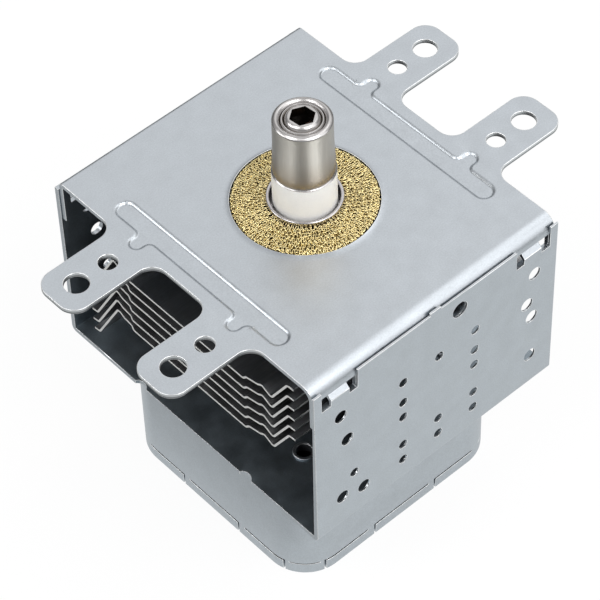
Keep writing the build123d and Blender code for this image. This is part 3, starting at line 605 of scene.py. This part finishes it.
for layer, drop in enumerate(layer_drops, 1):
    wires = bpy.data.curves.new(f"gasket_wire_{layer}", "CURVE")
    wires.dimensions = "3D"
    wires.bevel_depth = wire_radius
    wires.bevel_resolution = 0
    skin_length = gasket_high.x - collar_radius + skirt_run
    course = first_course + (layer - 1) * course_pitch / 2
    while course < skin_length:
        knitted_course(wires, course, drop)
        course += course_pitch
    knit = bpy.data.objects.new(f"gasket_wire_{layer}", wires)
    bpy.context.scene.collection.objects.link(knit)
    bpy.ops.object.select_all(action="DESELECT")
    knit.select_set(True)
    bpy.context.view_layer.objects.active = knit
    bpy.ops.object.convert(target="MESH")
    bpy.ops.object.shade_smooth()
    knit.data.materials.clear()
    knit.data.materials.append(brass if layer == 1 else brass_painted_shade)
    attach(knit, "root")
    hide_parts("wire_mesh_gasket")


# Collar
# The seal cup of the anode, drawn from thin steel and plated bright. Its rolled lip stands
# round the foot of the ceramic tube, and its inner faces towards the gap between them are painted
# near-black: painted shade. The pole pieces, the other cups and the stem's terminals are plated alike.
collar_finish = finish(
    "plated_steel", (0.56, 0.54, 0.55), 1.0, 0.2, speckle_depth=0.03, relief=0.0005 * mm
)
collar_rim = 0.03 * mm
lip_slot = 0
gap_painted_shade_slot = 1
collar_painted_shade = finish("collar_gap_painted_shade", (0.03, 0.03, 0.03), 1.0, 0.5)
lip_middle_radius = 9.25 * mm
collar = copied("upper_seal_cup", "upper_seal_cup_lip")
collar.data.materials.append(collar_finish)
collar.data.materials.append(collar_painted_shade)
# Inner faces towards the gap take the near-black finish: painted shade.
for face in collar.data.polygons:
    middle = face.center
    inwards = middle.x * face.normal.x + middle.y * face.normal.y < 0
    if inwards and math.hypot(middle.x, middle.y) < lip_middle_radius and face.normal.z < 0.5:
        face.material_index = gap_painted_shade_slot
rimmed(collar, "upper_seal_cup", collar_rim, lip_slot)
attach(collar, "root")
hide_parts("upper_seal_cup")
for node in (
    "lower_seal_cup", "upper_pole_piece", "lower_pole_piece", "exhaust_cup",
    "stem_terminal_1", "stem_terminal_2",
):
    nodes[node].material_slots[0].material = collar_finish


# Ceramic
# The antenna's tube and the stem block are sintered alumina, ground on their faces.
ceramic = finish(
    "alumina", (0.98, 0.965, 0.94), 0.0, 0.38,
    speckle_depth=0.02, cloud_depth=0.03, relief=0.002 * mm,
)
for node in ("antenna_insulator", "stem_insulator"):
    nodes[node].material_slots[0].material = ceramic


# Antenna cap
# A steel cap, drawn and turned, pressed over the pump-out tube. Its side is satin with fine
# upright marks and turns warmer towards its foot, where its skirt ends in a rolled lip. Its top
# is polished into rings round a hexagon hole, and its inner faces are painted near-black:
# painted shade.
cap_side = finish(
    "cap_steel", (0.485, 0.445, 0.385), 1.0, 0.34,
    stretch=(1, 1, 0.05), cloud=300, speckle_depth=0.05,
)
# The side's colour turns warmer and darker towards the foot.
foot_tint = (0.40, 0.335, 0.265)
foot_tint_heights = (13.5 * mm, 20.5 * mm)
cap_tree = cap_side.node_tree
cap_shader = cap_tree.nodes["Principled BSDF"]
cap_steel_colour = cap_shader.inputs["Base Color"].links[0].from_socket
cap_place = cap_tree.nodes.new("ShaderNodeTexCoord")
cap_height = cap_tree.nodes.new("ShaderNodeSeparateXYZ")
cap_tree.links.new(cap_place.outputs["Object"], cap_height.inputs[0])
foot_tint_reach = spread(cap_tree, cap_height.outputs["Z"], 1, 0, *foot_tint_heights)
cap_colour = between(cap_tree, foot_tint_reach, cap_steel_colour, foot_tint)
cap_tree.links.new(cap_colour, cap_shader.inputs["Base Color"])
cap_polish = finish(
    "cap_polish", (0.55, 0.535, 0.53), 1.0, 0.28, speckle_depth=0.02, relief=0.0005 * mm
)
# The cap's inner faces are painted near-black: painted shade.
cap_painted_shade = finish("cap_inside", (0.02, 0.018, 0.016), 1.0, 0.5)
cap_segments = 144
cap_crease = math.radians(40)
hexagon_angle = math.radians(36.5)
polish_slot = 1
cap_painted_shade_slot = 2
boss_rise = 0.85 * mm
polish_depth = 0.8 * mm
skirt_lip_height = 0.55 * mm
bore_start = 0.1 * mm
cap_low, cap_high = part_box("antenna_cap")
cap_foot = cap_low.z
cap_top = cap_high.z - boss_rise
# The cap's profile: radii, and heights over its foot or its top, in millimetres
cap_bore = 7.4
cap_skirt = (
    (7.9, 0.0), (8.08, 0.04), (8.13, 0.14), (8.06, 0.24), (7.92, 0.36), (7.8, 0.5), (7.77, 0.7),
    (7.8, 1.2), (7.84, 2.0), (7.84, 2.9), (7.81, 3.8),
)
cap_wall = ((7.74, 4.8), (7.66, 6.2), (7.58, 8.2), (7.52, 10.0), (7.5, 12.5), (7.5, 15.6))
cap_rings = (
    (7.5, -0.9), (7.49, -0.72), (7.42, -0.56), (7.22, -0.38), (7.0, -0.21), (6.8, -0.08),
    (6.55, 0.0), (6.33, -0.05), (6.12, -0.2), (5.92, -0.36), (5.76, -0.5), (5.66, -0.85),
    (5.5, -1.0), (5.36, -0.85), (5.26, -0.5), (5.12, -0.32), (4.96, -0.32), (4.83, -0.5),
    (4.72, -0.85), (4.56, -0.95), (4.42, -0.7), (4.3, -0.25), (4.14, 0.02), (3.92, 0.22),
    (3.72, 0.4), (3.55, 0.48),
)
cap_hexagon = ((3.35, 0.46), (3.35, -2.2))
cap_inside = ((6.9, -2.2), (6.9, -12.0), (7.2, -16.6))


def ring(piece, radius, height, corners=0, first_corner=0.0):
    """Extrudes the selected ring of edges and lays it at a radius and height."""
    bpy.ops.mesh.extrude_region_move()
    bpy.ops.object.mode_set(mode="OBJECT")
    for vertex in piece.data.vertices:
        if vertex.select:
            angle = math.atan2(vertex.co.y, vertex.co.x)
            reach = radius
            if corners:
                side = 2 * math.pi / corners
                off = (angle - first_corner) % side - side / 2
                reach = radius * math.cos(side / 2) / math.cos(off)
            vertex.co = (reach * math.cos(angle), reach * math.sin(angle), height)
    bpy.ops.object.mode_set(mode="EDIT")


bpy.ops.object.select_all(action="DESELECT")
bpy.ops.mesh.primitive_circle_add(
    vertices=cap_segments,
    radius=cap_bore * mm,
    location=(0, 0, cap_foot),
    rotation=(0, 0, hexagon_angle),
)
cap = bpy.context.active_object
cap.name = "antenna_cap_turned"
bpy.ops.object.transform_apply(location=True, rotation=True, scale=True)
bpy.ops.object.mode_set(mode="EDIT")
bpy.ops.mesh.select_all(action="SELECT")
for radius, height in cap_skirt + cap_wall:
    ring(cap, radius * mm, cap_foot + height * mm)
for radius, height in cap_rings:
    ring(cap, radius * mm, cap_top + height * mm)
for radius, height in cap_hexagon:
    ring(cap, radius * mm, cap_top + height * mm, 6, hexagon_angle)
for radius, height in cap_inside:
    ring(cap, radius * mm, cap_top + height * mm)
ring(cap, cap_bore * mm, cap_foot)
bpy.ops.mesh.select_all(action="SELECT")
bpy.ops.mesh.remove_doubles(threshold=0.001 * mm)
bpy.ops.mesh.normals_make_consistent(inside=False)
bpy.ops.object.mode_set(mode="OBJECT")
for material in (cap_side, cap_polish, cap_painted_shade):
    cap.data.materials.append(material)
for face in cap.data.polygons:
    middle = face.center
    outwards = middle.x * face.normal.x + middle.y * face.normal.y
    on_top = middle.z > cap_top - polish_depth and (face.normal.z > 0.05 or outwards > 0)
    on_lip = middle.z < cap_foot + skirt_lip_height and face.normal.z > 0.2
    if on_top or on_lip:
        face.material_index = polish_slot
    elif middle.z > cap_foot + bore_start and (outwards < 0 or face.normal.z < -0.5):
        face.material_index = cap_painted_shade_slot
bpy.ops.object.shade_smooth_by_angle(angle=cap_crease)
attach(cap, "root")
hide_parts("antenna_cap")


# Copper parts
# The anode with its vanes and straps, the antenna lead and the pump-out tube are bare copper.
copper = finish("bare_copper", (0.70, 0.38, 0.25), 1.0, 0.34, speckle_depth=0.08)
for sub in frame["record"]["subparts"]:
    if sub["material_slot"] == "copper":
        nodes[sub["node"]].material_slots[0].material = copper


# Magnets and choke cores
# Pressed and fired ferrite, matt black with a fine grain.
ferrite = finish(
    "ferrite_black", (0.022, 0.022, 0.024), 0.0, 0.62, speckle_depth=0.3, relief=0.02 * mm
)
for node in ("upper_magnet", "lower_magnet", "choke_core_1", "choke_core_2"):
    nodes[node].material_slots[0].material = ferrite


# Cathode
# The filament is a tungsten coil between two molybdenum hats, on molybdenum leads.
molybdenum = finish("drawn_molybdenum", (0.33, 0.33, 0.34), 1.0, 0.42, stretch=(1, 1, 0.1))
for sub in frame["record"]["subparts"]:
    if sub["material_slot"] == "molybdenum":
        nodes[sub["node"]].material_slots[0].material = molybdenum


# Chokes
# Two coils of copper wire under a clear brown enamel, wound on ferrite rods.
enamel = finish("wire_enamel", (0.42, 0.15, 0.06), 0.6, 0.3, speckle_depth=0.1)
enamel_shader = enamel.node_tree.nodes["Principled BSDF"]
enamel_shader.inputs["Coat Weight"].default_value = 0.8
enamel_shader.inputs["Coat Roughness"].default_value = 0.08
for node in ("choke_coil_1", "choke_coil_2"):
    nodes[node].material_slots[0].material = enamel


# Connector
# Two tinned tab terminals in a moulded resin case, which a zinc-coated plate and two rivets
# hold in the wall of the filter box.
resin = finish(
    "moulded_resin", (0.30, 0.035, 0.025), 0.0, 0.42, speckle_depth=0.15, relief=0.01 * mm
)
nodes["capacitor_case"].material_slots[0].material = resin
nodes["bracket_rivets"].material_slots[0].material = burnish_and_highlight
terminal_rim = 0.12 * mm
for node in ("capacitor_bracket", "terminal_blade_1", "terminal_blade_2"):
    fitting = copied(node, node + "_sheet")
    fitting.data.materials.append(zinc)
    fitting.data.materials.append(burnish_and_highlight)
    rimmed(fitting, node, terminal_rim)
    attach(fitting, "root")
    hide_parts(node)
